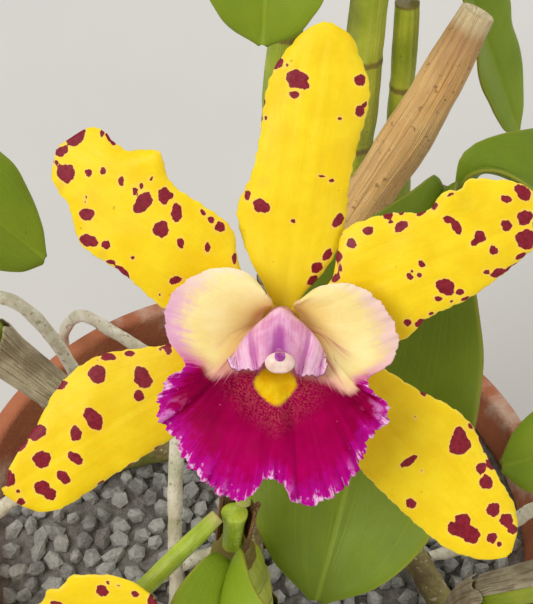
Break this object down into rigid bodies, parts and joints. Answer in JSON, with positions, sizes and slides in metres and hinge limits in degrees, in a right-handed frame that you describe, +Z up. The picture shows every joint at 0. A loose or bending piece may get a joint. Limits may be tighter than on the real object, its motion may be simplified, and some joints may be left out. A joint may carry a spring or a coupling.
{
  "type": "potted cattleya orchid",
  "caption": "Pot-grown orchid with spotted yellow blooms and magenta lips on jointed stems with leathery leaves, free roots and a plain clay pot with a flat base.",
  "frame": {"origin": "centre of the pot's flat underside", "axes": "+Z up along the pot's axis; the open bloom faces -Y and up; +X is to the viewer's right"},
  "size_m": [0.2791, 0.2551, 0.2829],
  "materials": {
    "terracotta": "matt fired clay, slightly chalky",
    "potting_stones": "rough grey stone chips",
    "rhizome": "dull fibrous skin",
    "pseudobulb": "satin living skin with papery bracts",
    "dried_cane": "dry papery husk with a pale cut end",
    "leaf": "leathery, softly glossy",
    "root": "chalky velamen",
    "stem": "smooth green skin",
    "sheath": "dry brown paper",
    "tepal": "waxy yellow with maroon spots",
    "lip": "velvety magenta with cream side lobes",
    "column": "waxy pink and purple",
    "anther_cap": "waxy white"
  },
  "bodies": {
    "root": {"pot": "terracotta", "potting_mix": "potting_stones", "rhizome": "rhizome", "pseudobulb_flowering": "pseudobulb", "pseudobulb_right": "pseudobulb", "pseudobulb_back": "pseudobulb", "pseudobulb_back_right": "pseudobulb", "pseudobulb_slim": "pseudobulb", "pseudobulb_left": "pseudobulb", "pseudobulb_far_right": "pseudobulb", "old_cut_cane": "dried_cane", "root_1": "root", "root_2": "root", "root_3": "root", "root_4": "root", "root_5": "root", "root_6": "root", "root_7": "root", "root_8": "root", "leaf_flowering": "leaf", "leaf_right_front": "leaf", "leaf_right_side": "leaf", "leaf_back_front": "leaf", "leaf_back_side": "leaf", "leaf_back_right_rear": "leaf", "leaf_back_right_side": "leaf", "leaf_slim": "leaf", "leaf_left_inner": "leaf", "leaf_left_outer": "leaf", "leaf_far_right_inner": "leaf", "leaf_far_right_outer": "leaf", "bloom_1_dorsal_sepal": "tepal", "bloom_1_lateral_sepal_left": "tepal", "bloom_1_lateral_sepal_right": "tepal", "bloom_1_petal_left": "tepal", "bloom_1_petal_right": "tepal", "bloom_1_lip": "lip", "bloom_1_column": "column", "bloom_1_anther_cap": "anther_cap", "bloom_1_pedicel": "stem", "bloom_2_dorsal_sepal": "tepal", "bloom_2_lateral_sepal_left": "tepal", "bloom_2_lateral_sepal_right": "tepal", "bloom_2_petal_left": "tepal", "bloom_2_petal_right": "tepal", "bloom_2_lip": "lip", "bloom_2_column": "column", "bloom_2_anther_cap": "anther_cap", "bloom_2_pedicel": "stem", "peduncle": "stem", "flower_sheath": "sheath"}
  },
  "joints": []
}
